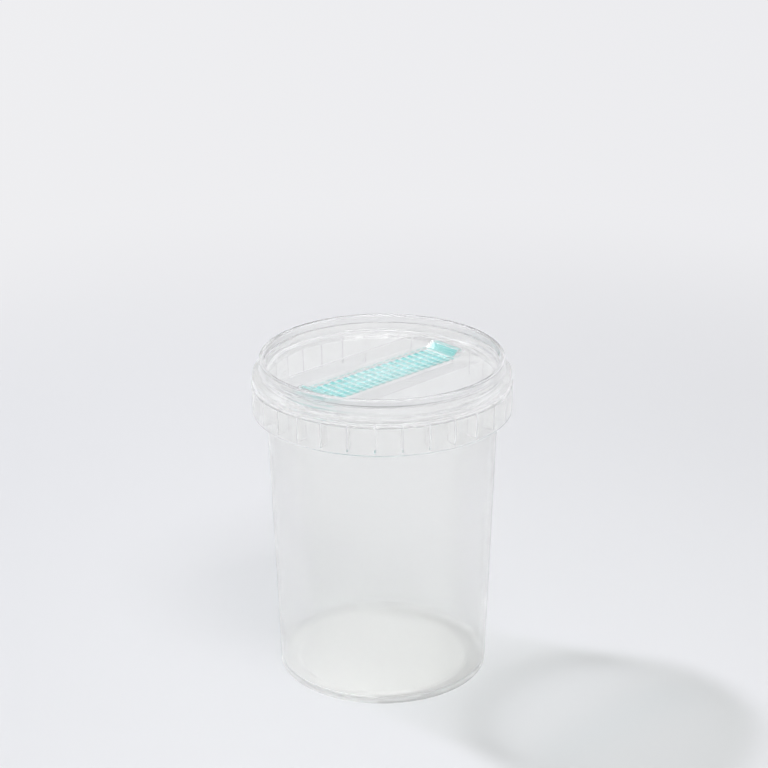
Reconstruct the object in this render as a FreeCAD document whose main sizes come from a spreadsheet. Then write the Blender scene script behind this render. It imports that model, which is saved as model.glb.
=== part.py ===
"""Tissue culture container: a ribbed-collar tub, its push-fit lid and the lid's filter strip.

Millimetres. +Z is up, and the origin is the centre of the foot the tub stands on.
"""
import FreeCAD, Part
import os
import re
import Sketcher
from math import pi

# Driving dimensions. Radii are measured from the tub's axis and levels from its foot. The collar's
# radius sets how wide the container is, and the other radii step inwards from it.
SIZES = {
    # Collar around the top of the wall, with its radial ribs
    "collar_radius": 59.0,
    "collar_flare": 0.1,
    "collar_thickness": 0.9,
    "collar_height": 13.4,
    "collar_corner": 1.6,
    "web_thickness": 1.1,
    "web_level": 140.6,
    "rib_count": 30,
    "rib_thickness": 0.8,
    "rib_setback": 1.2,
    "rib_phase": -93.2,
    # Tub wall and floor
    "base_inset": 6.5,
    "wall_draft": 2.03,
    "wall_thickness": 0.9,
    "floor_thickness": 1.1,
    "base_corner": 1.5,
    "floor_corner": 2.6,
    "foot_width": 8.9,
    "recess_depth": 0.8,
    "recess_slope": 1.0,
    "gate_radius": 1.6,
    "gate_depth": 0.35,
    # Rim that stands on the web, with the flange that the lid snaps under
    "rim_inset": 4.6,
    "rim_thickness": 0.65,
    "rim_height": 6.9,
    "rim_round": 0.25,
    "snap_lift": 1.6,
    "snap_thickness": 0.8,
    "snap_round": 0.3,
    "snap_slope": 1.0,
    # Lid: gaps to the tub
    "seat_gap": 0.15,
    "rim_gap_outside": 0.2,
    "rim_gap_inside": 0.3,
    "collar_gap": 0.7,
    "snap_gap": 0.3,
    # Lid: stacking ring and flange
    "lid_wall": 0.8,
    "ring_rise": 4.3,
    "crest_width": 2.1,
    "crest_flat": 0.2,
    "crest_core": 0.5,
    "crest_roof": 1.1,
    "flange_inset": 0.5,
    "flange_height": 2.8,
    "shoulder_rise": 2.0,
    "shoulder_round": 0.9,
    "hook_reach": 0.6,
    "hook_height": 1.2,
    # Lid: panel and the trough across it
    "panel_thickness": 0.9,
    "panel_drop": 7.4,
    "panel_cove": 2.0,
    "plug_round": 1.0,
    "ledge_drop": 3.4,
    "trough_depth": 1.0,
    "trough_end_margin": 4.65,
    "trough_end_slope": 8.5,
    "trough_half_width": 23.2,
    "trough_side_slope": 10.0,
    "trough_corner": 9.0,
    "trough_floor_corner": 6.0,
    # Lid: ladder window in the trough's floor
    "strip_angle": 43.5,
    "window_end_margin": 3.9,
    "window_side_margin": 5.1,
    "cell_count_along": 18,
    "cell_count_across": 4,
    "bar_width": 0.8,
    "bar_height": 0.6,
    "frame_width": 0.8,
    "frame_height": 0.4,
    # Lid: hollow pads past the window's ends, which the filter strip's ends climb into
    "climb_run": 3.8,
    "climb_rise": 2.7,
    "landing_length": 2.2,
    "pad_skin": 0.7,
    "pad_side_gap": 0.2,
    # Filter strip welded under the window
    "filter_border": 1.6,
    "filter_thickness": 0.5,
    "quilt_height": 0.25,
    "quilt_gap": 0.15,
}
EDGE_TOLERANCE = 0.01

doc = FreeCAD.newDocument("tissue_culture_container")
sheet = doc.addObject("Spreadsheet::Sheet", "Sizes")
for row, (alias, value) in enumerate(SIZES.items(), start=1):
    sheet.set("A%d" % row, alias)
    sheet.set("B%d" % row, str(value))
    sheet.setAlias("B%d" % row, alias)
doc.recompute()

# Levels and radii that several features share, each worked out from the driving dimensions.
DERIVED = {
    "web_under": "(web_level - web_thickness)",
    "collar_bottom": "(web_level - collar_height)",
    "rim_radius": "(collar_radius - rim_inset)",
    "rim_inner": "(rim_radius - rim_thickness)",
    "rim_top": "(web_level + rim_height)",
    "base_radius": "(rim_radius - base_inset)",
    "recess_radius": "(base_radius - foot_width)",
    "flange_radius": "(collar_radius - flange_inset)",
    "flange_inner": "(flange_radius - lid_wall)",
    "flange_bottom": "(web_level + collar_gap)",
    "flange_top": "(flange_bottom + flange_height)",
    "shoulder_top": "(flange_top + shoulder_rise)",
    "hook_inner": "(flange_inner - hook_reach)",
    "snap_level": "(web_level + snap_lift)",
    "snap_radius": "(hook_inner - snap_gap)",
    "channel_roof": "(rim_top + seat_gap)",
    "channel_outer": "(rim_radius + rim_gap_outside)",
    "ring_radius": "(channel_outer + lid_wall)",
    "ring_top": "(rim_top + ring_rise)",
    "crest_inner": "(ring_radius - crest_width)",
    "crest_round": "((crest_width - crest_flat) / 2)",
    "plug_radius": "(rim_inner - rim_gap_inside)",
    "plug_inner": "(plug_radius - lid_wall)",
    "panel_top": "(ring_top - panel_drop)",
    "panel_under": "(panel_top - panel_thickness)",
    "ledge_level": "(ring_top - ledge_drop)",
    "trough_top": "(panel_top - trough_depth)",
    "trough_under": "(trough_top - panel_thickness)",
    "trough_end_radius": "(plug_inner - trough_end_margin)",
    "trough_floor_end_radius": "(trough_end_radius - trough_end_slope)",
    "trough_floor_half_width": "(trough_half_width - trough_side_slope)",
    "window_length": "(2 * (trough_floor_end_radius - window_end_margin))",
    "window_width": "(2 * (trough_floor_half_width - window_side_margin))",
    "cell_pitch_along": "((window_length + bar_width) / cell_count_along)",
    "cell_pitch_across": "((window_width + bar_width) / cell_count_across)",
    "climb_start": "(window_length / 2 + frame_width)",
    "climb_end": "(climb_start + climb_run)",
    "landing_end": "(climb_end + landing_length)",
    "landing_level": "(trough_under + climb_rise)",
    "pad_width": "(window_width + 2 * pad_side_gap + 2 * pad_skin)",
}
WORD = re.compile(r"[a-z_]+")


def formula(text):
    """Spells a formula out until it names only cells of the sheet."""
    def spell(match):
        word = match.group(0)
        if word in DERIVED:
            return formula(DERIVED[word])
        return "Sizes." + word if word in SIZES else word
    return WORD.sub(spell, text)


def value_of(text):
    """The present value of a formula, in millimetres or degrees."""
    return float(sheet.evalExpression(formula(text)))


def new_body(name, turn):
    """A body with its own label, turned about the tub's axis."""
    body = doc.addObject("PartDesign::Body", name)
    body.Label = name
    body.Placement = FreeCAD.Placement(FreeCAD.Vector(0, 0, 0), FreeCAD.Rotation(FreeCAD.Vector(0, 0, 1), 0))
    body.setExpression("Placement.Rotation.Angle", formula(turn))
    return body


def origin_part(body, role):
    """One of the body's own origin planes or axes."""
    return next(part for part in body.Origin.OriginFeatures if part.Role == role)


def new_sketch(body, name, plane, level="0"):
    """A sketch on one of the body's origin planes, lifted by level."""
    sketch = body.newObject("Sketcher::SketchObject", name)
    sketch.AttachmentSupport = [(origin_part(body, plane), "")]
    sketch.MapMode = "FlatFace"
    sketch.setExpression("AttachmentOffset.Base.z", formula(level))
    doc.recompute()
    return sketch


def pin_point(sketch, geometry, end, along, up):
    """Fixes a point's two distances from the sketch's origin to formulas."""
    for kind, text in (("DistanceX", along), ("DistanceY", up)):
        number = value_of(text)
        if number == 0:
            axis = -2 if kind == "DistanceX" else -1
            sketch.addConstraint(Sketcher.Constraint("PointOnObject", geometry, end, axis))
        else:
            index = sketch.addConstraint(Sketcher.Constraint(kind, -1, 1, geometry, end, number))
            sketch.setExpression("Constraints[%d]" % index, formula(text))


def outline(sketch, corners):
    """A closed outline of straight lines, every corner bound to its two formulas."""
    points = [FreeCAD.Vector(value_of(x), value_of(y), 0) for x, y in corners]
    first = sketch.GeometryCount
    for number, start in enumerate(points):
        end = points[(number + 1) % len(points)]
        sketch.addGeometry(Part.LineSegment(start, end), False)
    for number, (along, up) in enumerate(corners):
        line = first + number
        following = first + (number + 1) % len(corners)
        sketch.addConstraint(Sketcher.Constraint("Coincident", line, 2, following, 1))
        pin_point(sketch, line, 1, along, up)


def centred_rectangle(sketch, length, width):
    """A rectangle centred on the sketch's origin."""
    x, y = "(%s) / 2" % length, "(%s) / 2" % width
    outline(sketch, [("-" + x, "-" + y), (x, "-" + y), (x, y), ("-" + x, y)])


def rounded_band(sketch, half_width, end_radius, corner):
    """Two straight sides joined by arcs about the origin, with rounded corners between them."""
    side, reach, small = value_of(half_width), value_of(end_radius), value_of(corner)
    middle = FreeCAD.Vector(0, 0, 0)
    up = FreeCAD.Vector(0, 0, 1)
    centre_y = side - small
    centre_x = ((reach - small) ** 2 - centre_y ** 2) ** 0.5
    lean = FreeCAD.Vector(centre_x, centre_y, 0).getAngle(FreeCAD.Vector(1, 0, 0))
    quarter = pi / 2

    def arc(centre, radius, start, end):
        return Part.ArcOfCircle(Part.Circle(centre, up, radius), start, end)

    def line(x1, y1, x2, y2):
        return Part.LineSegment(FreeCAD.Vector(x1, y1, 0), FreeCAD.Vector(x2, y2, 0))

    pieces = [
        arc(middle, reach, -lean, lean),
        arc(FreeCAD.Vector(centre_x, centre_y, 0), small, lean, quarter),
        line(centre_x, side, -centre_x, side),
        arc(FreeCAD.Vector(-centre_x, centre_y, 0), small, quarter, pi - lean),
        arc(middle, reach, pi - lean, pi + lean),
        arc(FreeCAD.Vector(-centre_x, -centre_y, 0), small, pi + lean, 3 * quarter),
        line(-centre_x, -side, centre_x, -side),
        arc(FreeCAD.Vector(centre_x, -centre_y, 0), small, 3 * quarter, 2 * pi - lean),
    ]
    sketch.addGeometry(pieces, False)
    for number in range(len(pieces)):
        following = (number + 1) % len(pieces)
        sketch.addConstraint(Sketcher.Constraint("Tangent", number, 2, following, 1))
    for end_arc in (0, 4):
        sketch.addConstraint(Sketcher.Constraint("Coincident", end_arc, 3, -1, 1))
    for number, text in ((0, end_radius), (1, corner)):
        index = sketch.addConstraint(Sketcher.Constraint("Radius", number, value_of(text)))
        sketch.setExpression("Constraints[%d]" % index, formula(text))
    for first, second in ((0, 4), (1, 3), (1, 5), (1, 7)):
        sketch.addConstraint(Sketcher.Constraint("Equal", first, second))
    for side_line in (2, 6):
        sketch.addConstraint(Sketcher.Constraint("Horizontal", side_line))
    index = sketch.addConstraint(Sketcher.Constraint("DistanceY", -1, 1, 2, 1, side))
    sketch.setExpression("Constraints[%d]" % index, formula(half_width))


def revolve(body, name, sketch):
    """A full turn of the sketch about the tub's axis."""
    turned = body.newObject("PartDesign::Revolution", name)
    turned.Profile = sketch
    turned.ReferenceAxis = (sketch, ["V_Axis"])
    turned.Angle = 360
    finish(body, turned)
    return turned


def extrude(body, kind, name, sketch, length, symmetric=False):
    """A Pad or Pocket of the sketch by a formula's length."""
    grown = body.newObject("PartDesign::" + kind, name)
    grown.Profile = sketch
    grown.SideType = "Symmetric" if symmetric else "One side"
    grown.setExpression("Length", formula(length))
    finish(body, grown)
    return grown


def loft(body, kind, name, sketches):
    """A ruled loft, added or taken away, through the sketches."""
    blend = body.newObject("PartDesign::" + kind, name)
    blend.Profile = sketches[0]
    blend.Sections = sketches[1:]
    blend.Ruled = True
    finish(body, blend)
    return blend


def row_of(body, name, original, axis, pitch, count):
    """Copies of one feature in a straight row."""
    pattern = body.newObject("PartDesign::LinearPattern", name)
    pattern.Originals = [original]
    pattern.Direction = (original.Profile[0], [axis])
    pattern.Mode = "Spacing"
    pattern.setExpression("Offset", formula(pitch))
    pattern.setExpression("Occurrences", formula(count))
    finish(body, pattern)
    return pattern


def turned_copies(body, name, original, count):
    """Copies of one feature, evenly spaced about the tub's axis."""
    pattern = body.newObject("PartDesign::PolarPattern", name)
    pattern.Originals = [original]
    pattern.Axis = (origin_part(body, "Z_Axis"), [""])
    pattern.Angle = 360
    pattern.setExpression("Occurrences", formula(count))
    finish(body, pattern)
    return pattern


def round_edges(body, name, radius, places):
    """Rounds the circular edges that lie at the given radius and level."""
    base = body.Tip
    wanted = [(value_of(across), value_of(level)) for across, level in places]
    names = []
    for number, edge in enumerate(base.Shape.Edges, start=1):
        if not isinstance(edge.Curve, Part.Circle):
            continue
        for across, level in wanted:
            misses = (abs(edge.Curve.Radius - across), abs(edge.Curve.Center.z - level))
            if max(misses) < EDGE_TOLERANCE:
                names.append("Edge%d" % number)
    if len(names) != len(wanted):
        raise RuntimeError("%s: found %d edges, expected %d" % (name, len(names), len(wanted)))
    fillet = body.newObject("PartDesign::Fillet", name)
    fillet.Base = (base, names)
    fillet.setExpression("Radius", formula(radius))
    finish(body, fillet)
    return fillet


def finish(body, feature):
    """Makes the feature the body's tip and brings the model up to date."""
    body.Tip = feature
    doc.recompute()


def wall_at(level):
    """The wall's outer radius at a level."""
    return "(base_radius + (%s) * tan(wall_draft))" % level


def make_tub():
    """The tub in one moulding: floor, wall, web, collar, ribs, rim and snap flange."""
    body = new_body("tub", "rib_phase")
    section = new_sketch(body, "tub_section", "XZ_Plane")
    collar_inner = "(collar_radius - collar_thickness)"
    ledge_top = "(web_level + wall_thickness)"
    outline(section, [
        ("0", "recess_depth + gate_depth"),
        ("gate_radius", "recess_depth + gate_depth"),
        ("gate_radius", "recess_depth"),
        ("recess_radius", "recess_depth"),
        ("recess_radius + recess_slope", "0"),
        ("base_radius", "0"),
        (wall_at("web_under"), "web_under"),
        (collar_inner, "web_under"),
        (collar_inner + " - collar_flare", "collar_bottom"),
        ("collar_radius - collar_flare", "collar_bottom"),
        ("collar_radius", "web_level"),
        ("rim_radius", "web_level"),
        ("rim_radius", "snap_level"),
        ("snap_radius", "snap_level"),
        ("snap_radius", "snap_level + snap_thickness"),
        ("rim_radius", "snap_level + snap_thickness + snap_slope"),
        ("rim_radius", "rim_top"),
        ("rim_inner", "rim_top"),
        ("rim_inner", ledge_top),
        (wall_at("web_under") + " - wall_thickness", "web_under"),
        ("base_radius - wall_thickness", "floor_thickness"),
        ("recess_radius + recess_slope", "floor_thickness"),
        ("recess_radius", "floor_thickness + recess_depth"),
        ("0", "floor_thickness + recess_depth"),
    ])
    revolve(body, "tub_shell", section)

    round_edges(body, "base_edge", "base_corner", [("base_radius", "0")])
    round_edges(body, "floor_edge", "floor_corner", [("base_radius - wall_thickness", "floor_thickness")])
    round_edges(body, "collar_edge", "collar_corner", [("collar_radius", "web_level")])
    round_edges(body, "rim_edges", "rim_round", [("rim_radius", "rim_top"), ("rim_inner", "rim_top")])
    round_edges(body, "snap_edges", "snap_round",
                [("snap_radius", "snap_level"), ("snap_radius", "snap_level + snap_thickness")])

    rib_section = new_sketch(body, "rib_section", "XZ_Plane")
    rib_bottom = "collar_bottom + rib_setback"
    rib_top = "web_level - web_thickness / 2"
    rib_outer = "collar_radius - collar_flare - collar_thickness / 2"
    outline(rib_section, [
        (wall_at(rib_bottom) + " - wall_thickness / 2", rib_bottom),
        (rib_outer, rib_bottom),
        (rib_outer, rib_top),
        (wall_at(rib_top) + " - wall_thickness / 2", rib_top),
    ])
    rib = extrude(body, "Pad", "rib", rib_section, "rib_thickness", symmetric=True)
    turned_copies(body, "ribs", rib, "rib_count")
    return body


def make_lid():
    """The lid in one moulding: ring, flange and panel, with the trough and its ladder window."""
    body = new_body("lid", "strip_angle")
    section = new_sketch(body, "lid_section", "XZ_Plane")
    core_inner = "(channel_outer - crest_core)"
    core_top = "(ring_top - crest_roof)"
    outline(section, [
        ("0", "panel_under"),
        ("plug_radius", "panel_under"),
        ("plug_radius", "channel_roof"),
        (core_inner, "channel_roof"),
        (core_inner, core_top),
        ("channel_outer", core_top),
        ("channel_outer", "shoulder_top - lid_wall"),
        ("flange_inner", "flange_top - lid_wall"),
        ("flange_inner", "flange_bottom + hook_height"),
        ("hook_inner", "flange_bottom + hook_height - hook_reach / 2"),
        ("hook_inner", "flange_bottom + hook_reach / 2"),
        ("flange_inner - hook_reach / 2", "flange_bottom"),
        ("flange_radius", "flange_bottom"),
        ("flange_radius", "flange_top"),
        ("ring_radius", "shoulder_top"),
        ("ring_radius", "ring_top"),
        ("crest_inner", "ring_top"),
        ("crest_inner", "ledge_level"),
        ("plug_inner", "ledge_level - (crest_inner - plug_inner)"),
        ("plug_inner", "panel_top"),
        ("0", "panel_top"),
    ])
    revolve(body, "lid_shell", section)

    round_edges(body, "crest_edges", "crest_round",
                [("ring_radius", "ring_top"), ("crest_inner", "ring_top")])
    round_edges(body, "shoulder_edges", "shoulder_round",
                [("ring_radius", "shoulder_top"), ("flange_radius", "flange_top")])
    round_edges(body, "cove", "panel_cove", [("plug_inner", "panel_top")])
    round_edges(body, "plug_edge", "plug_round", [("plug_radius", "panel_under")])

    def trough_mouth(name, level):
        sketch = new_sketch(body, name, "XY_Plane", level)
        rounded_band(sketch, "trough_half_width", "trough_end_radius", "trough_corner")
        return sketch

    def trough_bed(name, level):
        sketch = new_sketch(body, name, "XY_Plane", level)
        rounded_band(sketch, "trough_floor_half_width", "trough_floor_end_radius", "trough_floor_corner")
        return sketch

    loft(body, "AdditiveLoft", "trough_belly",
         [trough_mouth("belly_mouth", "panel_under"), trough_bed("belly_bed", "trough_under")])
    loft(body, "SubtractiveLoft", "trough",
         [trough_mouth("trough_mouth", "panel_top"), trough_bed("trough_bed", "trough_top")])

    pad_section = new_sketch(body, "pad_section", "XZ_Plane")
    pad_foot = "climb_start + (panel_thickness - pad_skin) * climb_run / climb_rise"
    outline(pad_section, [
        (pad_foot, "trough_top"),
        ("climb_end", "landing_level + pad_skin"),
        ("landing_end", "landing_level + pad_skin"),
        ("landing_end + pad_skin", "landing_level"),
        ("landing_end + pad_skin", "trough_top"),
    ])
    pad = extrude(body, "Pad", "end_pad", pad_section, "pad_width", symmetric=True)
    turned_copies(body, "end_pads", pad, "2")

    hollow_section = new_sketch(body, "hollow_section", "XZ_Plane")
    outline(hollow_section, [
        ("climb_start", "trough_under"),
        ("climb_end", "landing_level"),
        ("landing_end", "landing_level"),
        ("landing_end", "trough_under"),
    ])
    hollow = extrude(body, "Pocket", "pad_hollow", hollow_section, "window_width + 2 * pad_side_gap",
                     symmetric=True)
    turned_copies(body, "pad_hollows", hollow, "2")

    frame_sketch = new_sketch(body, "frame_sketch", "XY_Plane", "trough_top")
    centred_rectangle(frame_sketch, "window_length + 2 * frame_width", "window_width + 2 * frame_width")
    extrude(body, "Pad", "window_frame", frame_sketch, "frame_height")

    window_sketch = new_sketch(body, "window_sketch", "XY_Plane", "trough_top + frame_height")
    centred_rectangle(window_sketch, "window_length", "window_width")
    extrude(body, "Pocket", "window", window_sketch, "frame_height + panel_thickness + lid_wall")

    def bar_sketch(name, x_low, x_high, y_low, y_high):
        sketch = new_sketch(body, name, "XY_Plane", "trough_under")
        outline(sketch, [(x_low, y_low), (x_high, y_low), (x_high, y_high), (x_low, y_high)])
        return sketch

    root = "frame_width / 2"
    first_rung = "(window_length / 2 + bar_width / 2 - cell_pitch_along)"
    rung_sketch = bar_sketch("rung_sketch",
                             "-%s - bar_width / 2" % first_rung, "-%s + bar_width / 2" % first_rung,
                             "-window_width / 2 - " + root, "window_width / 2 + " + root)
    rung = extrude(body, "Pad", "rung", rung_sketch, "bar_height")
    row_of(body, "rungs", rung, "H_Axis", "cell_pitch_along", "cell_count_along - 1")

    first_rail = "(window_width / 2 + bar_width / 2 - cell_pitch_across)"
    rail_sketch = bar_sketch("rail_sketch", "-window_length / 2 - " + root, "window_length / 2 + " + root,
                             "-%s - bar_width / 2" % first_rail, "-%s + bar_width / 2" % first_rail)
    rail = extrude(body, "Pad", "rail", rail_sketch, "bar_height")
    row_of(body, "rails", rail, "V_Axis", "cell_pitch_across", "cell_count_across - 1")
    return body


def make_filter_strip():
    """The breathing filter: a strip under the window, quilted in its cells, with climbing ends."""
    body = new_body("filter_strip", "strip_angle")
    strip_sketch = new_sketch(body, "strip_sketch", "XY_Plane", "trough_under - filter_thickness")
    centred_rectangle(strip_sketch, "2 * climb_start", "window_width + 2 * filter_border")
    extrude(body, "Pad", "strip", strip_sketch, "filter_thickness")

    tongue_section = new_sketch(body, "tongue_section", "XZ_Plane")
    outline(tongue_section, [
        ("climb_start", "trough_under - filter_thickness"),
        ("climb_end", "landing_level - filter_thickness"),
        ("landing_end", "landing_level - filter_thickness"),
        ("landing_end", "landing_level"),
        ("climb_end", "landing_level"),
        ("climb_start", "trough_under"),
    ])
    tongue = extrude(body, "Pad", "tongue", tongue_section, "window_width", symmetric=True)
    turned_copies(body, "tongues", tongue, "2")

    cell_x = "(window_length / 2 - (cell_pitch_along - bar_width) / 2)"
    cell_y = "(window_width / 2 - (cell_pitch_across - bar_width) / 2)"
    half_x = "((cell_pitch_along - bar_width) / 2 - quilt_gap)"
    half_y = "((cell_pitch_across - bar_width) / 2 - quilt_gap)"
    cell_sketch = new_sketch(body, "cell_sketch", "XY_Plane", "trough_under")
    outline(cell_sketch, [
        ("-%s - %s" % (cell_x, half_x), "-%s - %s" % (cell_y, half_y)),
        ("-%s + %s" % (cell_x, half_x), "-%s - %s" % (cell_y, half_y)),
        ("-%s + %s" % (cell_x, half_x), "-%s + %s" % (cell_y, half_y)),
        ("-%s - %s" % (cell_x, half_x), "-%s + %s" % (cell_y, half_y)),
    ])
    cell = extrude(body, "Pad", "cell", cell_sketch, "quilt_height")

    quilt = body.newObject("PartDesign::LinearPattern", "quilt")
    quilt.Originals = [cell]
    quilt.Direction = (cell_sketch, ["H_Axis"])
    quilt.Mode = "Spacing"
    quilt.setExpression("Offset", formula("cell_pitch_along"))
    quilt.setExpression("Occurrences", formula("cell_count_along"))
    quilt.Direction2 = (cell_sketch, ["V_Axis"])
    quilt.Mode2 = "Spacing"
    quilt.setExpression("Offset2", formula("cell_pitch_across"))
    quilt.setExpression("Occurrences2", formula("cell_count_across"))
    finish(body, quilt)
    return body


def check(bodies):
    """Stops unless every object is sound and every sub-part is one valid solid."""
    for item in doc.Objects:
        if "Invalid" in item.State or "Error" in item.State:
            raise RuntimeError("%s is %s" % (item.Name, item.State))
    for body in bodies:
        shape = body.Shape
        if shape.isNull() or not shape.isValid() or len(shape.Solids) != 1:
            raise RuntimeError("%s is not one valid solid" % body.Label)


pieces = [make_tub(), make_lid(), make_filter_strip()]
doc.recompute()
check(pieces)

os.makedirs("parts", exist_ok=True)
for piece in pieces:
    piece.Shape.exportStep(os.path.join("parts", piece.Label + ".step"))
    box = piece.Shape.BoundBox
    print("%s: %.1f mm3, %d faces, z %.2f to %.2f" % (
        piece.Label, piece.Shape.Volume, len(piece.Shape.Faces), box.ZMin, box.ZMax))
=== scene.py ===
"""Looks of the tissue culture container: materials, filter strip, stage, light and camera."""
import math

import bpy
from mathutils import Matrix, Vector


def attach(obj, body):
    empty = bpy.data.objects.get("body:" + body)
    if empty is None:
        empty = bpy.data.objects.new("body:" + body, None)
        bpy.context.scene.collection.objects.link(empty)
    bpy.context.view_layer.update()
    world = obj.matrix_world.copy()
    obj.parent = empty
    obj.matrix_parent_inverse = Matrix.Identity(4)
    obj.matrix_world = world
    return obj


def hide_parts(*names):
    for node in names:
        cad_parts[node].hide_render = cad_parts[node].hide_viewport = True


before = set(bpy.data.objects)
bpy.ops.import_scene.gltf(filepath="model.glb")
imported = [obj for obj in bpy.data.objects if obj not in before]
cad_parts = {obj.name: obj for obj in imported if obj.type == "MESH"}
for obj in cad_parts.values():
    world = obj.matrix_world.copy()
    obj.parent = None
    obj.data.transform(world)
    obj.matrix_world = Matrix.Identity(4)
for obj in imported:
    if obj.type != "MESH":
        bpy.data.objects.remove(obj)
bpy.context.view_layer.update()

MM = 0.001

# Camera, worked out from the outlines of the foot, the collar and the lid's ring in the photo
CAMERA_PLACE = (0.0, -0.943212, 0.507993)
CAMERA_DOWN = math.radians(21.441)
CAMERA_ROLL = math.radians(0.198)
CAMERA_TURN = math.radians(0.051)
FOCAL_PIXELS = 2244.852
FRAME_PIXELS = 768
SENSOR_MM = 36.0

# Filter strip: its cells lie between the window's bars, and its ends climb to a landing in each pad
STRIP_TURN = math.radians(43.5)
CELLS_ALONG, CELLS_ACROSS = 18, 4
BAR_WIDTH = 0.8 * MM
WINDOW_FRAME = 0.8 * MM
STRIP_BORDER = 1.6 * MM
CLIMB_RUN, CLIMB_RISE = 3.8 * MM, 2.7 * MM
LANDING_LENGTH = 2.2 * MM
FLEECE_THICKNESS = 0.42 * MM
FLEECE_CLEARANCE = 0.03 * MM
PILLOW_RISE = 0.27 * MM
FINE_RUNG_PITCH = 1.15 * MM
CELL_STEPS, CLIMB_STEPS, LANDING_STEPS = 8, 6, 3

# The strip's reach and level, measured on its solid along the strip and across it
turned_back = Matrix.Rotation(-STRIP_TURN, 3, "Z")
strip_places = [turned_back @ vertex.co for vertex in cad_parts["filter_strip"].data.vertices]
LANDING_END = max(abs(place.x) for place in strip_places)
FLAT_HALF_WIDTH = max(abs(place.y) for place in strip_places)
FLAT_TOP = min(place.z for place in strip_places) + FLEECE_CLEARANCE + FLEECE_THICKNESS
CLIMB_END = LANDING_END - LANDING_LENGTH
FLAT_HALF_LENGTH = CLIMB_END - CLIMB_RUN
TONGUE_HALF_WIDTH = FLAT_HALF_WIDTH - STRIP_BORDER
CELL_LENGTH = (2 * (FLAT_HALF_LENGTH - WINDOW_FRAME) + BAR_WIDTH) / CELLS_ALONG
CELL_WIDTH = (2 * TONGUE_HALF_WIDTH + BAR_WIDTH) / CELLS_ACROSS

# Noises: scale, detail, and stretch along X, Y and Z; most of a noise lies in its middle band
FLOW = (9.0, 2.0, (1, 1, 0.35))
GRAIN = (220.0, 3.0, (1, 1, 0.5))
FIBRES = (900.0, 4.0, (1, 1, 1))
WEAR = (160.0, 2.0, (1, 1, 1))
PAPER_GRAIN = (400.0, 3.0, (1, 1, 1))
MIDDLE_BAND = (0.3, 0.7)
WEAR_BAND = (0.35, 0.65)

# Plastics: the tint, roughness, hazy share, chalk on the foot and on the walls, height of the ripples,
# and the tints of the light that passes near the foot, under the panel and out at the ring
TUB_PLASTIC = {
    "tint": (1.0, 1.0, 0.995),
    "roughness": 0.13,
    "haze": 0.19,
    "foot_chalk": 0.35,
    "wall_chalk": 0.003,
    "ripple": 0.1 * MM,
    "passed_tints": ((0.995, 0.998, 0.992), (0.82, 0.83, 0.815), (0.93, 0.935, 0.925)),
}
LID_PLASTIC = {
    "tint": (1.0, 1.0, 0.998),
    "roughness": 0.06,
    "haze": 0.22,
    "foot_chalk": 0.0,
    "wall_chalk": 0.0,
    "ripple": 0.05 * MM,
    "passed_tints": ((0.85, 0.86, 0.85), (0.85, 0.86, 0.85), (0.915, 0.92, 0.915)),
}
PLASTIC_IOR = 1.49
HAZE_IOR, HAZE_ROUGHNESS = 1.2, 0.45
ROUGHNESS_SPREAD = (0.75, 1.3)
HAZE_SPREAD = (0.85, 1.15)
MOST_CROSSINGS = 4.5
MOST_REFLECTIONS = 0.5

# Between these levels, and between these radii, the light that passes changes its tint
TINT_LEVELS = (52.0 * MM, 135.0 * MM)
TINT_RADII = (52.0 * MM, 54.0 * MM)

# Chalk: its colour, the levels between which the foot's frost ends, the part of it that sends light
# back on the walls and on the foot, and how it grows where a wall is seen along
CHALK = (0.96, 0.955, 0.935)
FROST_LEVELS = (2.6 * MM, 4.16 * MM)
BACK_SHARES = (0.5, 0.9)
ALONG_POWER, ALONG_GAIN = 4.0, 4.0

# Fleece: the colours of its cells and weld lines, and the tint of the light that passes
CELL_COLOUR = (0.84, 0.99, 0.98)
LINE_COLOUR = (0.0, 0.60, 0.58)
FLEECE_PASSED = (0.85, 0.88, 0.88)
FLEECE_ROUGHNESS, FLEECE_SHEEN = 0.55, 0.2
FIBRE_HEIGHT, FIBRE_STRENGTH = 0.05 * MM, 0.6

# Weld lines in cells: half width and soft edge, and stretches over which the rungs' depth changes
RUNG_LINE = (0.28, 0.07)
RAIL_LINE = (0.10, 0.06)
NEAR_STRETCH, NEAR_DEPTHS = (-CELLS_ACROSS / 2, -0.2), (1.0, 0.75)
FAR_STRETCH, FAR_DEPTHS = (0.8, CELLS_ACROSS / 2), (0.75, 0.9)
END_STRETCH, END_DEPTHS = (1.0, 6.5), (0.75, 1.0)
CLIMB_STRETCH = (9.0, 9.4)
RAIL_DEPTH, CLIMB_DEPTH = 0.5, 0.5
WORN_DEPTHS = (0.85, 1.0)

# Stage paper: its tone at the left, darker there as painted shade, and at the right, the stretch between,
# and its relief
PAPER_LEFT_SHADED = (0.815, 0.82, 0.83)
PAPER_RIGHT = (0.86, 0.864, 0.872)
PAPER_STRETCH = (-0.3, -0.06)
PAPER_HEIGHT, PAPER_STRENGTH = 0.1 * MM, 0.2

# Glowing field of painted light that shows in place of the paper further out, brighter at the left than at
# the right, and its strength at two pairs of levels: dimmed at the bend as painted shade and raised up the
# wall behind as painted light
FIELD_LEFT = (0.868, 0.868, 0.885)
FIELD_RIGHT = (0.832, 0.832, 0.856)
FIELD_STRETCH = (-0.8, 0.8)
FIELD_DISTANCES = (0.28, 0.75)
BEND_SHADE_LEVELS, BEND_SHADE = (0.1, 0.45), (1.0, 0.8)
TOP_LIGHT_LEVELS, TOP_LIGHT = (0.7, 0.85), (1.0, 1.45)

# Sweep: the half width, the floor's front edge and middle row, and the wall behind with its bend
SWEEP_REACH = 3.0
SWEEP_FRONT, SWEEP_MIDDLE = -3.0, -1.0
SWEEP_BACK, SWEEP_HEIGHT, SWEEP_BEND = 2.2, 1.15, 0.8
BEND_STEPS = 24

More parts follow.
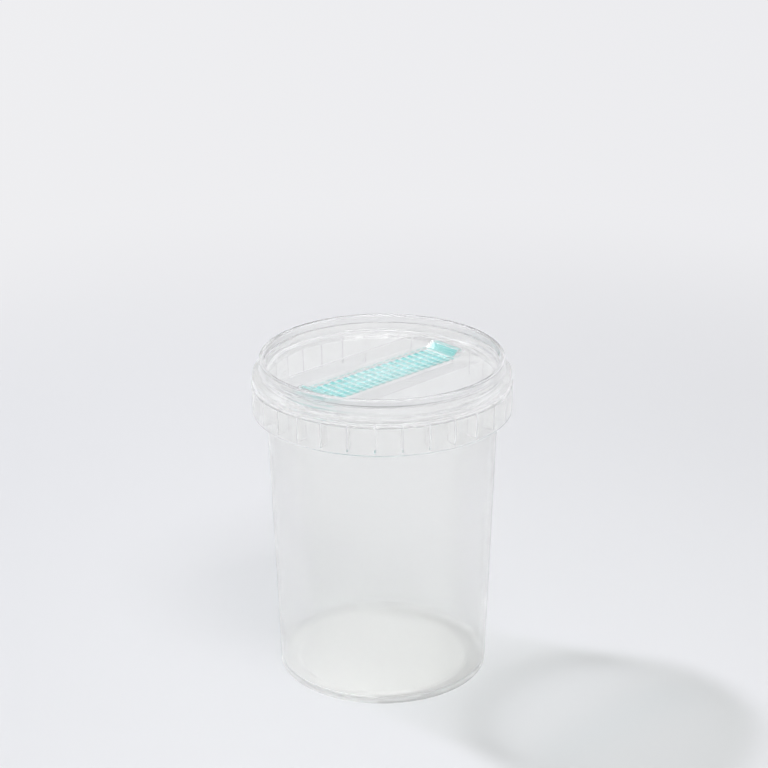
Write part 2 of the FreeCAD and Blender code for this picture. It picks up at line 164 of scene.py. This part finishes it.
# World: the light that it gives, the colour that it shows, and a gloom low behind the object
WORLD_LIGHT, WORLD_STRENGTH = (0.97, 0.985, 1), 0.25
WORLD_SHOWN, CAMERA_STRENGTH = (0.97, 0.98, 1), 0.88
GLOOM_BACK, GLOOM_TOP = (0.1, 0.35), (0.52, 0.62)
GLOOM_STRENGTH = 0.55

# Lamps: the points on the tub's axis that they face
LOW_AIM = (0, 0, 0.05)
HIGH_AIM = (0, 0, 0.1)

WHITE = (1, 1, 1)
COOL_WHITE = (0.95, 0.95, 1)


def new_material(name):
    """An empty material with its output node."""
    material = bpy.data.materials.new(name)
    material.use_nodes = True
    tree = material.node_tree
    tree.nodes.clear()
    output = tree.nodes.new("ShaderNodeOutputMaterial")
    return material, tree, output


def feed(tree, socket, value):
    """Gives an input its value, which is another node's socket, a colour or a number."""
    if isinstance(value, bpy.types.NodeSocket):
        tree.links.new(value, socket)
    elif isinstance(value, tuple):
        socket.default_value = (*value, 1)
    else:
        socket.default_value = value


def math_node(tree, operation, first, second=None):
    """One calculation in a node tree."""
    node = tree.nodes.new("ShaderNodeMath")
    node.operation = operation
    feed(tree, node.inputs[0], first)
    if second is not None:
        feed(tree, node.inputs[1], second)
    return node.outputs[0]


def map_range(tree, value, span, ends, smooth=False):
    """Carries a value across a span from one end to the other, held beyond them."""
    node = tree.nodes.new("ShaderNodeMapRange")
    node.interpolation_type = "SMOOTHSTEP" if smooth else "LINEAR"
    node.clamp = True
    for slot, number in enumerate((*span, *ends), start=1):
        node.inputs[slot].default_value = number
    feed(tree, node.inputs[0], value)
    return node.outputs[0]


def noise(tree, place, scale, detail, stretch):
    """A noise value from 0 to 1 in the object's own space, stretched by direction."""
    mapping = tree.nodes.new("ShaderNodeMapping")
    mapping.inputs["Scale"].default_value = stretch
    feed(tree, mapping.inputs["Vector"], place)
    texture = tree.nodes.new("ShaderNodeTexNoise")
    feed(tree, texture.inputs["Scale"], scale)
    feed(tree, texture.inputs["Detail"], detail)
    feed(tree, texture.inputs["Vector"], mapping.outputs[0])
    return texture.outputs["Fac"]


def object_place(tree):
    """The point's own coordinates on the object."""
    return tree.nodes.new("ShaderNodeTexCoord").outputs["Object"]


def split(tree, vector):
    """The X, Y and Z of a vector."""
    node = tree.nodes.new("ShaderNodeSeparateXYZ")
    feed(tree, node.inputs[0], vector)
    return tuple(node.outputs)


def length_of(tree, vector):
    """How long a vector is."""
    node = tree.nodes.new("ShaderNodeVectorMath")
    node.operation = "LENGTH"
    feed(tree, node.inputs[0], vector)
    return node.outputs["Value"]


def radius_of(tree, place):
    """How far a point is from the tub's axis."""
    flat = tree.nodes.new("ShaderNodeVectorMath")
    flat.operation = "MULTIPLY"
    flat.inputs[1].default_value = (1, 1, 0)
    feed(tree, flat.inputs[0], place)
    return length_of(tree, flat.outputs[0])


def bump(tree, height, distance, strength):
    """A bump normal from a height value."""
    node = tree.nodes.new("ShaderNodeBump")
    feed(tree, node.inputs["Distance"], distance)
    feed(tree, node.inputs["Strength"], strength)
    feed(tree, node.inputs["Height"], height)
    return node.outputs[0]


def blended(tree, factor, first, second):
    """A colour between two others."""
    node = tree.nodes.new("ShaderNodeMix")
    node.data_type = "RGBA"
    feed(tree, node.inputs[6], first)
    feed(tree, node.inputs[7], second)
    feed(tree, node.inputs[0], factor)
    return node.outputs[2]


def shader(tree, kind, colour, normal=None, **values):
    """A shader with its colour, bump normal and other inputs by name."""
    node = tree.nodes.new("ShaderNode" + kind)
    feed(tree, node.inputs["Color"], colour)
    for name, value in values.items():
        feed(tree, node.inputs[name], value)
    if normal is not None:
        feed(tree, node.inputs["Normal"], normal)
    return node.outputs[0]


def mix(tree, factor, first, second):
    """One shader at a factor of 0, the other at 1, and a mixture between."""
    node = tree.nodes.new("ShaderNodeMixShader")
    feed(tree, node.inputs[0], factor)
    feed(tree, node.inputs[1], first)
    feed(tree, node.inputs[2], second)
    return node.outputs[0]


def looked_at(tree, path):
    """1 for what is seen directly, mirrored or through plastic, and 0 for the light on matt surfaces."""
    seen = math_node(tree, "MAXIMUM", path.outputs["Is Camera Ray"], path.outputs["Is Glossy Ray"])
    return math_node(tree, "MAXIMUM", seen, path.outputs["Is Transmission Ray"])


def chalk_dust(tree, place, body, normal, foot_chalk, wall_chalk):
    """Lays a little chalk over the clear body: more on the frosted foot and where a wall is seen along."""
    through = shader(tree, "BsdfTranslucent", CHALK, normal)
    back = shader(tree, "BsdfDiffuse", CHALK, normal)
    level = split(tree, place)[2]
    frost = map_range(tree, level, FROST_LEVELS, (1, 0))
    dust = mix(tree, map_range(tree, frost, (0, 1), BACK_SHARES), through, back)
    weight = tree.nodes.new("ShaderNodeLayerWeight")
    along = math_node(tree, "POWER", weight.outputs["Facing"], ALONG_POWER)
    wall = map_range(tree, along, (0, 1), (wall_chalk, ALONG_GAIN * wall_chalk))
    foot = math_node(tree, "MULTIPLY", frost, foot_chalk)
    return mix(tree, math_node(tree, "MAXIMUM", wall, foot), body, dust)


def straight_on(tree, path, body):
    """Lets a ray go straight on that has crossed many faces, was mirrored or comes from a matt surface."""
    crossed = math_node(tree, "GREATER_THAN", path.outputs["Ray Depth"], MOST_CROSSINGS)
    mirrored = math_node(tree, "GREATER_THAN", path.outputs["Glossy Depth"], MOST_REFLECTIONS)
    tired = math_node(tree, "MAXIMUM", crossed, mirrored)
    tired = math_node(tree, "MAXIMUM", tired, path.outputs["Is Diffuse Ray"])
    return mix(tree, tired, body, shader(tree, "BsdfTransparent", WHITE))


def passed_tint(tree, place, foot_tint, panel_tint, ring_tint):
    """The tint of the light that passes, by the height of the point and its distance from the axis."""
    raised = map_range(tree, split(tree, place)[2], TINT_LEVELS, (0, 1))
    outer = map_range(tree, radius_of(tree, place), TINT_RADII, (0, 1))
    inner_tint = blended(tree, raised, foot_tint, panel_tint)
    return blended(tree, outer, inner_tint, ring_tint)


def clear_plastic(name, tint, roughness, haze, foot_chalk, wall_chalk, ripple, passed_tints):
    """A see-through moulding: glass with a hazy share and a little chalk, and lamps reach through it."""
    material, tree, output = new_material(name)
    place = object_place(tree)
    flow = noise(tree, place, *FLOW)
    grain = noise(tree, place, *GRAIN)
    normal = bump(tree, flow, ripple, 1.0)

    rough = map_range(tree, grain, MIDDLE_BAND, [roughness * share for share in ROUGHNESS_SPREAD])
    hazy = map_range(tree, flow, MIDDLE_BAND, [haze * share for share in HAZE_SPREAD])
    glass = shader(tree, "BsdfGlass", tint, normal, IOR=PLASTIC_IOR, Roughness=rough)
    blur = shader(tree, "BsdfGlass", tint, normal, IOR=HAZE_IOR, Roughness=HAZE_ROUGHNESS)
    body = mix(tree, hazy, glass, blur)
    body = chalk_dust(tree, place, body, normal, foot_chalk, wall_chalk)

    path = tree.nodes.new("ShaderNodeLightPath")
    body = straight_on(tree, path, body)
    open_way = shader(tree, "BsdfTransparent", passed_tint(tree, place, *passed_tints))
    whole = mix(tree, path.outputs["Is Shadow Ray"], body, open_way)
    feed(tree, output.inputs["Surface"], whole)
    return material


def grid_line(tree, along, half_width, softness):
    """1 on the lines at whole numbers of the coordinate and 0 between them."""
    part = math_node(tree, "FRACT", along)
    away = math_node(tree, "ABSOLUTE", math_node(tree, "SUBTRACT", part, 0.5))
    edge = 0.5 - half_width
    return map_range(tree, away, (edge - softness, edge + softness), (0, 1), smooth=True)


def weld_lines(tree):
    """Depth of the weld lines' colour: full towards the near edge and both ends, paler in the middle."""
    cells = tree.nodes.new("ShaderNodeUVMap")
    cells.uv_map = "cells"
    along, across, _ = split(tree, cells.outputs[0])
    rungs = grid_line(tree, along, *RUNG_LINE)
    rails = grid_line(tree, across, *RAIL_LINE)
    near = map_range(tree, across, NEAR_STRETCH, NEAR_DEPTHS, smooth=True)
    far = map_range(tree, across, FAR_STRETCH, FAR_DEPTHS, smooth=True)
    from_middle = math_node(tree, "ABSOLUTE", along)
    ends = map_range(tree, from_middle, END_STRETCH, END_DEPTHS, smooth=True)
    climbing = map_range(tree, from_middle, CLIMB_STRETCH, (0, 1))
    depth = math_node(tree, "MULTIPLY", math_node(tree, "MAXIMUM", near, far), ends)
    rungs = math_node(tree, "MULTIPLY", rungs, math_node(tree, "MAXIMUM", depth, climbing))
    lines = math_node(tree, "MAXIMUM", rungs, math_node(tree, "MULTIPLY", rails, RAIL_DEPTH))
    return math_node(tree, "MAXIMUM", lines, math_node(tree, "MULTIPLY", climbing, CLIMB_DEPTH))


def fleece(name):
    """Breathing filter: pale fleece cells between welded teal lines."""
    material, tree, output = new_material(name)
    lines = weld_lines(tree)
    place = object_place(tree)
    fibre = noise(tree, place, *FIBRES)
    wear = map_range(tree, noise(tree, place, *WEAR), WEAR_BAND, WORN_DEPTHS)
    worn_lines = math_node(tree, "MULTIPLY", lines, wear)

    body = tree.nodes.new("ShaderNodeBsdfPrincipled")
    feed(tree, body.inputs["Base Color"], blended(tree, worn_lines, CELL_COLOUR, LINE_COLOUR))
    feed(tree, body.inputs["Roughness"], FLEECE_ROUGHNESS)
    feed(tree, body.inputs["Sheen Weight"], FLEECE_SHEEN)
    feed(tree, body.inputs["Normal"], bump(tree, fibre, FIBRE_HEIGHT, FIBRE_STRENGTH))
    path = tree.nodes.new("ShaderNodeLightPath")
    open_way = shader(tree, "BsdfTransparent", FLEECE_PASSED)
    whole = mix(tree, path.outputs["Is Shadow Ray"], body.outputs[0], open_way)
    feed(tree, output.inputs["Surface"], whole)
    return material


def place_in_scene(name, data):
    """A new object of the scene for a mesh, a lamp or a camera."""
    item = bpy.data.objects.new(name, data)
    bpy.context.scene.collection.objects.link(item)
    return item


def smooth_mesh(name, verts, faces, material):
    """A mesh with smooth shading and one material."""
    mesh = bpy.data.meshes.new(name)
    mesh.from_pydata(verts, [], faces)
    for face in mesh.polygons:
        face.use_smooth = True
    mesh.materials.append(material)
    return mesh


def strip_level(along):
    """Level of the fleece's upper side at a distance from the lid's centre."""
    climbed = min(max(abs(along) - FLAT_HALF_LENGTH, 0) / CLIMB_RUN, 1)
    return FLAT_TOP + climbed * CLIMB_RISE


def cell_number(along):
    """Number of weld lines between the centre and a point, with finer lines on the climbing ends."""
    flat = min(abs(along), FLAT_HALF_LENGTH) / CELL_LENGTH
    beyond = max(abs(along) - FLAT_HALF_LENGTH, 0) * math.hypot(CLIMB_RUN, CLIMB_RISE) / CLIMB_RUN
    return math.copysign(flat + beyond / FINE_RUNG_PITCH, along)


def pillow(along, across):
    """How far the fleece swells up into the window's cell at a point."""
    if abs(along) >= CELLS_ALONG / 2 * CELL_LENGTH or abs(across) >= CELLS_ACROSS / 2 * CELL_WIDTH:
        return 0
    u = abs(along) / CELL_LENGTH % 1
    v = abs(across) / CELL_WIDTH % 1
    return PILLOW_RISE * math.sqrt(math.sin(math.pi * u) * math.sin(math.pi * v))


def strip_point(along, across):
    """A point of the fleece's upper side, turned to the strip's direction on the lid."""
    turn = Matrix.Rotation(STRIP_TURN, 3, "Z")
    return tuple(turn @ Vector((along, across, strip_level(along) + pillow(along, across))))


def stations(cells, pitch, extra):
    """Places that divide the cells evenly about the middle, with extra places past both ends."""
    count = cells // 2 * CELL_STEPS
    inner = [number * pitch / CELL_STEPS for number in range(-count, count + 1)]
    return [-value for value in reversed(extra)] + inner + extra


def climb_stations():
    """Places on the climb and on the landing past one end of the flat part."""
    climb = [FLAT_HALF_LENGTH + CLIMB_RUN * step / CLIMB_STEPS for step in range(CLIMB_STEPS + 1)]
    landing = [CLIMB_END + LANDING_LENGTH * step / LANDING_STEPS for step in range(1, LANDING_STEPS + 1)]
    return climb + landing


def strip_squares(rows, columns):
    """The sheet's squares as row and column numbers; past the flat part only the tongue goes on."""
    squares = []
    for row in range(len(rows) - 1):
        for column in range(len(columns) - 1):
            along = abs(rows[row] + rows[row + 1]) / 2
            across = abs(columns[column] + columns[column + 1]) / 2
            if along <= FLAT_HALF_LENGTH or across <= TONGUE_HALF_WIDTH:
                squares.append(((row, column), (row + 1, column), (row + 1, column + 1), (row, column + 1)))
    return squares


def make_strip(material):
    """The filter strip as one quilted sheet with climbing ends, in place of its plain solid."""
    rows = stations(CELLS_ALONG, CELL_LENGTH, climb_stations())
    columns = stations(CELLS_ACROSS, CELL_WIDTH, [FLAT_HALF_WIDTH])
    squares = strip_squares(rows, columns)
    keys = list(dict.fromkeys(key for square in squares for key in square))
    numbers = {key: number for number, key in enumerate(keys)}
    verts = [strip_point(rows[row], columns[column]) for row, column in keys]
    faces = [[numbers[key] for key in square] for square in squares]

    mesh = smooth_mesh("filter_fleece", verts, faces, material)
    layer = mesh.uv_layers.new(name="cells")
    corners = [key for square in squares for key in square]
    for number, (row, column) in enumerate(corners):
        layer.data[number].uv = (cell_number(rows[row]), columns[column] / CELL_WIDTH)
    sheet = place_in_scene("filter_fleece", mesh)
    skin = sheet.modifiers.new("thickness", "SOLIDIFY")
    skin.thickness = FLEECE_THICKNESS
    skin.offset = -1
    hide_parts("filter_strip")
    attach(sheet, "lid")


def stage_material(name):
    """Pale paper: matt near the object and darker towards the left as painted shade; further out and where
    it rises behind, a glowing pale field of painted light, dimmed at the bend as painted shade.
    """
    material, tree, output = new_material(name)
    place = object_place(tree)
    side, _, level = split(tree, place)
    grain = noise(tree, place, *PAPER_GRAIN)
    # Painted shade: the paper's tone darkens towards the left
    painted_shade_side = map_range(tree, side, PAPER_STRETCH, (0, 1), smooth=True)
    shaded_paper_tone = blended(tree, painted_shade_side, PAPER_LEFT_SHADED, PAPER_RIGHT)
    paper = shader(tree, "BsdfDiffuse", shaded_paper_tone, bump(tree, grain, PAPER_HEIGHT, PAPER_STRENGTH))

    # Painted light: the field glows brighter at the left than at the right, is dimmed at the bend as
    # painted shade and is raised up the wall as painted light
    field_tone = blended(tree, map_range(tree, side, FIELD_STRETCH, (0, 1)), FIELD_LEFT, FIELD_RIGHT)
    bend_shade = map_range(tree, level, BEND_SHADE_LEVELS, BEND_SHADE, smooth=True)
    top_light = map_range(tree, level, TOP_LIGHT_LEVELS, TOP_LIGHT, smooth=True)
    strength = math_node(tree, "MULTIPLY", bend_shade, top_light)
    field = shader(tree, "Emission", field_tone, Strength=strength)

    seen = looked_at(tree, tree.nodes.new("ShaderNodeLightPath"))
    far = map_range(tree, length_of(tree, place), FIELD_DISTANCES, (0, 1), smooth=True)
    whole = mix(tree, math_node(tree, "MULTIPLY", seen, far), paper, field)
    feed(tree, output.inputs["Surface"], whole)
    return material


def make_sweep():
    """Floor and backdrop in one curved sheet."""
    bend_start = SWEEP_BACK - SWEEP_BEND
    rows = [(SWEEP_FRONT, 0.0), (SWEEP_MIDDLE, 0.0), (bend_start, 0.0)]
    for step in range(1, BEND_STEPS + 1):
        turn = step / BEND_STEPS * math.pi / 2
        rows.append((bend_start + SWEEP_BEND * math.sin(turn), SWEEP_BEND - SWEEP_BEND * math.cos(turn)))
    rows.append((SWEEP_BACK, SWEEP_HEIGHT))
    verts = [(x, y, z) for y, z in rows for x in (-SWEEP_REACH, SWEEP_REACH)]
    faces = [(2 * row, 2 * row + 1, 2 * row + 3, 2 * row + 2) for row in range(len(rows) - 1)]
    mesh = smooth_mesh("sweep", verts, faces, stage_material("sweep_paper"))
    place_in_scene("sweep", mesh)


def area_light(name, place, aim, size, power, colour=WHITE, glint=False):
    """A rectangular lamp aimed at a point: it lights the matt surfaces, or is only mirrored."""
    data = bpy.data.lights.new(name, "AREA")
    data.shape = "RECTANGLE"
    data.size, data.size_y = size
    data.energy = power
    data.color = colour
    lamp = place_in_scene(name, data)
    lamp.location = place
    lamp.rotation_mode = "QUATERNION"
    lamp.rotation_quaternion = (Vector(aim) - Vector(place)).to_track_quat("-Z", "Y")
    lamp.visible_diffuse = not glint
    lamp.visible_glossy = glint
    lamp.visible_transmission = False


def make_lamps():
    """Three lamps light the matt surfaces, and two more are only mirrored in the glossy ones."""
    area_light("back_left", place=(-1.354, 0.858, 2.0), aim=LOW_AIM, size=(0.2, 0.2), power=32.0,
               colour=COOL_WHITE)
    area_light("front", place=(0.27, -0.57, 1.2), aim=LOW_AIM, size=(0.5, 0.5), power=6.8)
    # This one glints on the ramp of the right-hand pad, and the next one on the crest of the ring
    area_light("back_glint", place=(-1.229, 0.978, 1.835), aim=HIGH_AIM, size=(0.04, 0.04), power=0.16,
               glint=True)
    area_light("front_glint", place=(0.09, -0.49, 1.3), aim=HIGH_AIM, size=(1.0, 0.2), power=7.5,
               glint=True)
    area_light("softbox", place=(0.2, -0.1, 1.65), aim=HIGH_AIM, size=(1.7, 1.3), power=1.2)


def make_world():
    """An even pale world, which the camera sees a little dimmer, and which shows a gloom low behind."""
    world = bpy.data.worlds.new("studio")
    world.use_nodes = True
    tree = world.node_tree
    lighting = tree.nodes["Background"]
    feed(tree, lighting.inputs["Color"], WORLD_LIGHT)
    feed(tree, lighting.inputs["Strength"], WORLD_STRENGTH)

    _, back, up = split(tree, tree.nodes.new("ShaderNodeTexCoord").outputs["Generated"])
    behind = map_range(tree, back, GLOOM_BACK, (0, 1), smooth=True)
    low = map_range(tree, up, GLOOM_TOP, (1, 0), smooth=True)
    gloom = math_node(tree, "MULTIPLY", behind, low)
    path = tree.nodes.new("ShaderNodeLightPath")
    plain = map_range(tree, path.outputs["Is Camera Ray"], (0, 1), (1, CAMERA_STRENGTH))
    dimmed = map_range(tree, gloom, (0, 1), (1, GLOOM_STRENGTH))
    strength = math_node(tree, "MULTIPLY", plain, dimmed)
    shown = shader(tree, "Background", WORLD_SHOWN, Strength=strength)
    both = mix(tree, looked_at(tree, path), lighting.outputs[0], shown)
    feed(tree, tree.nodes["World Output"].inputs["Surface"], both)
    bpy.context.scene.world = world


def make_camera():
    """The camera at the photo's place and angle."""
    data = bpy.data.cameras.new("camera")
    data.sensor_width = SENSOR_MM
    data.lens = FOCAL_PIXELS / FRAME_PIXELS * SENSOR_MM
    camera = place_in_scene("camera", data)
    turn = Matrix.Rotation(-CAMERA_TURN, 4, "Z")
    tilt = Matrix.Rotation(math.pi / 2 - CAMERA_DOWN, 4, "X")
    roll = Matrix.Rotation(-CAMERA_ROLL, 4, "Z")
    camera.matrix_world = Matrix.Translation(CAMERA_PLACE) @ turn @ tilt @ roll
    bpy.context.scene.camera = camera


def dress(node, material):
    """Gives a piece of the frame its material."""
    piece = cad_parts[node]
    piece.data.materials.clear()
    piece.data.materials.append(material)


dress("tub", clear_plastic("tub_plastic", **TUB_PLASTIC))
dress("lid", clear_plastic("lid_plastic", **LID_PLASTIC))
make_strip(fleece("strip_fleece"))
make_sweep()
make_lamps()
make_world()
make_camera()

scene = bpy.context.scene
scene.view_settings.view_transform = "Standard"
